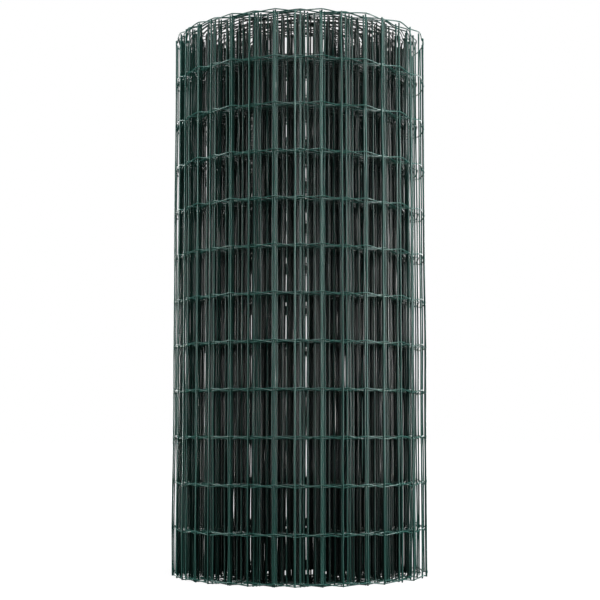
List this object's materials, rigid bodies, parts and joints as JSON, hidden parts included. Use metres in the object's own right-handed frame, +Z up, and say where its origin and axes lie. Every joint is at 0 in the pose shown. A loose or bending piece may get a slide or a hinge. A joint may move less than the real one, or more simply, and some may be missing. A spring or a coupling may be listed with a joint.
{
  "type": "roll of wire fencing",
  "caption": "Roll of green plastic-coated welded wire fencing, wound in a spiral round an open bore and standing on its end.",
  "frame": {"origin": "on the roll's axis, at the level of the end that it stands on", "axes": "+Z up along the roll's axis; the pictured side faces -Y and the mesh's loose free end is towards +X"},
  "size_m": [0.5733, 0.5734, 1.208],
  "materials": {
    "coated_wire": "smooth semi-gloss dark green PVC coat on drawn steel wire"
  },
  "bodies": {
    "root": {"mesh_roll": "coated_wire"}
  },
  "joints": []
}
